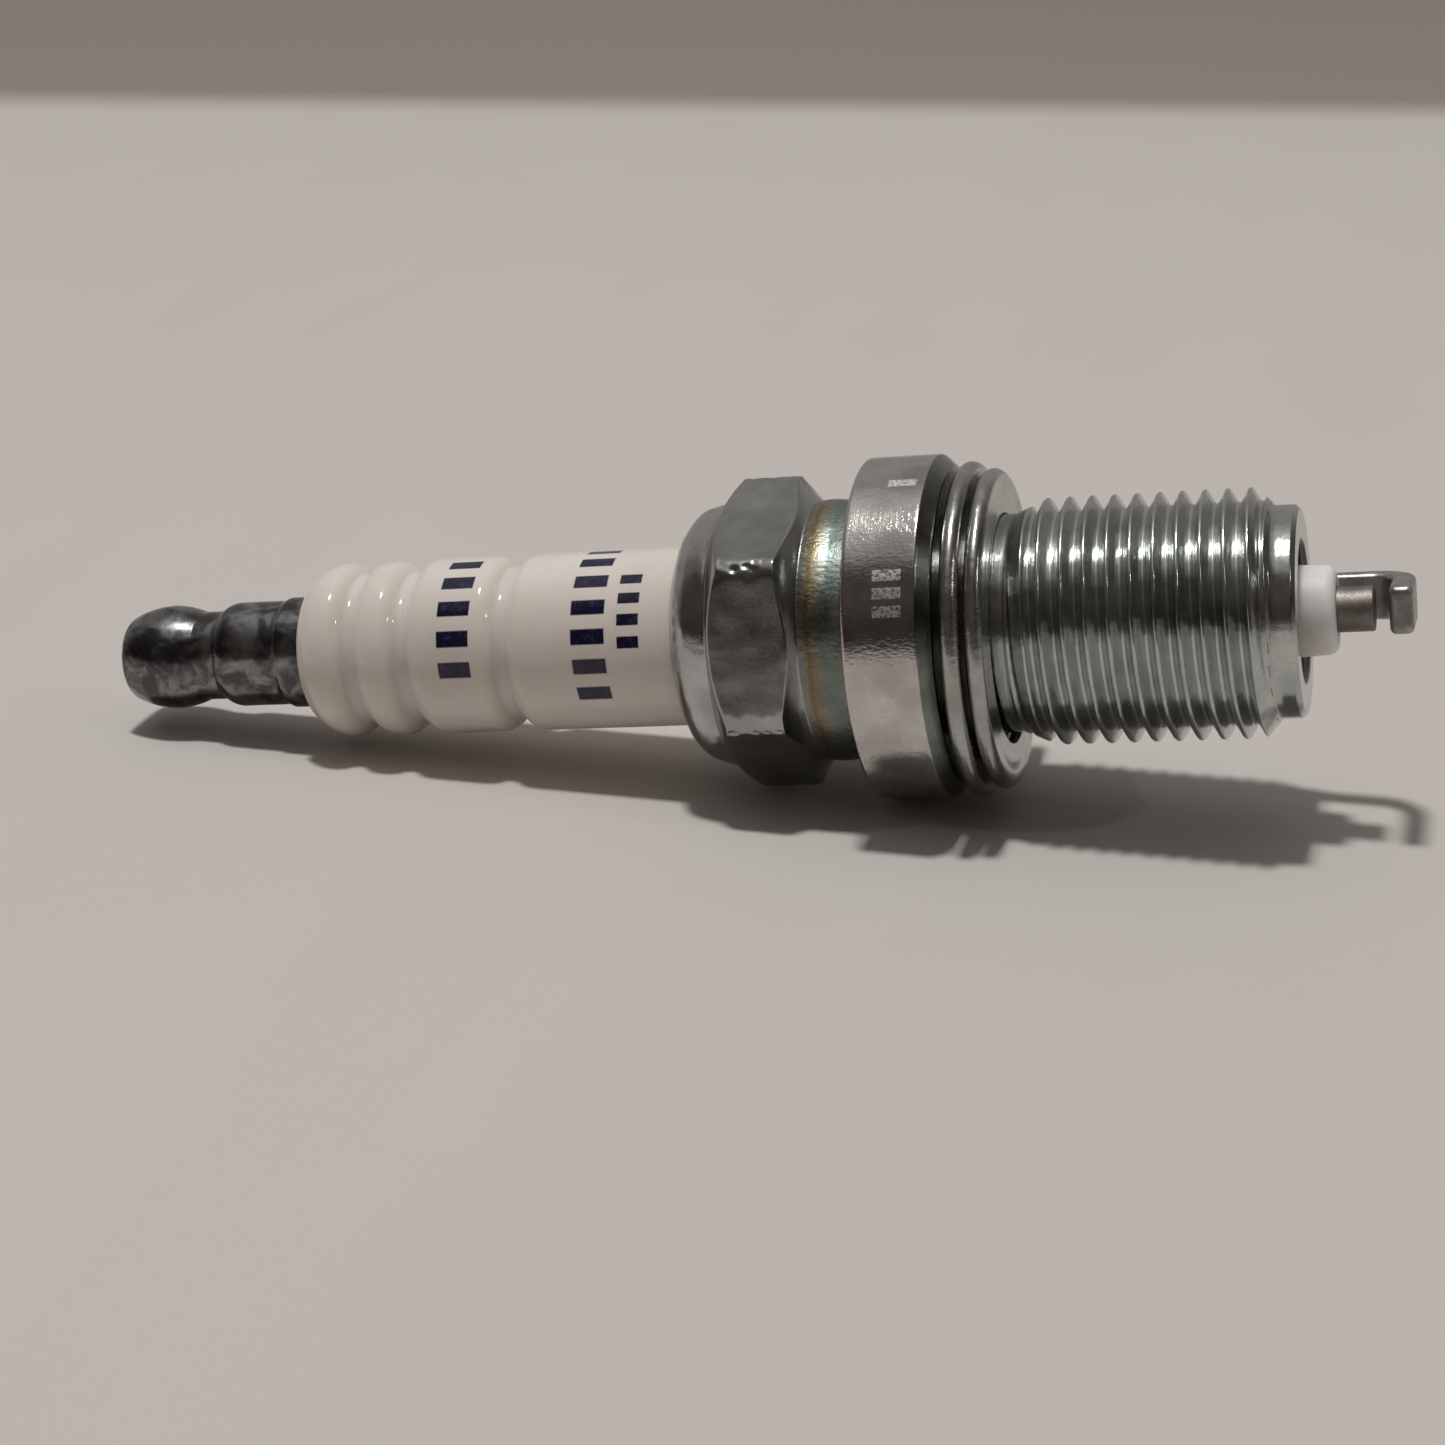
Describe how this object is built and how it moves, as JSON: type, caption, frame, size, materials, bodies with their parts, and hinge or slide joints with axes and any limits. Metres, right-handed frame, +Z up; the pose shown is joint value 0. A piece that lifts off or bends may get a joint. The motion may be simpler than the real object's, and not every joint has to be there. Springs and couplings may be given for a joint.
{
  "type": "spark plug",
  "caption": "Spark plug: ribbed ceramic insulator crimped in a threaded hex shell, screw-on terminal nut, folded seat gasket and hooked ground electrode.",
  "frame": {"origin": "on the plug's axis, in the plane of the shell's seat face from which the 19 mm reach is measured", "axes": "+X along the plug's axis towards the firing end, +Z up; the ground electrode's leg is 8.5 degrees below +Y"},
  "size_m": [0.0763, 0.0194, 0.0195],
  "materials": {
    "terminal_metal": "bright dark nickel plate with smudges",
    "stud_steel": "zinc plated steel",
    "insulator_glaze": "glazed white alumina, unglazed at the nose",
    "seal_glass": "fused copper glass powder",
    "resistor_mix": "fused carbon and glass powder",
    "nickel_alloy": "satin nickel alloy",
    "copper": "plain copper",
    "shell_plating": "bright zinc plate on turned steel, heat tint at the neck",
    "ring_steel": "plain steel",
    "gasket_steel": "zinc plated folded sheet"
  },
  "bodies": {
    "plug": {"terminal_stud": "stud_steel", "insulator": "insulator_glaze", "upper_glass_seal": "seal_glass", "resistor": "resistor_mix", "lower_glass_seal": "seal_glass", "centre_electrode": "nickel_alloy", "copper_core": "copper", "shell": "shell_plating", "packing_ring": "ring_steel", "seat_washer": "ring_steel", "ground_electrode": "nickel_alloy"},
    "nut": {"terminal_nut": "terminal_metal"},
    "gasket_ring": {"gasket": "gasket_steel"}
  },
  "joints": [
    {"name": "terminal_nut_off", "type": "slide", "parent": "plug", "child": "nut", "axis": [-1, 0, 0], "range_m": [0, 0.012]},
    {"name": "gasket_turn", "type": "hinge", "parent": "plug", "child": "gasket_ring", "pos_m": [0.00153, 0, -0.0003], "axis": [1, 0, 0], "continuous": true}
  ]
}
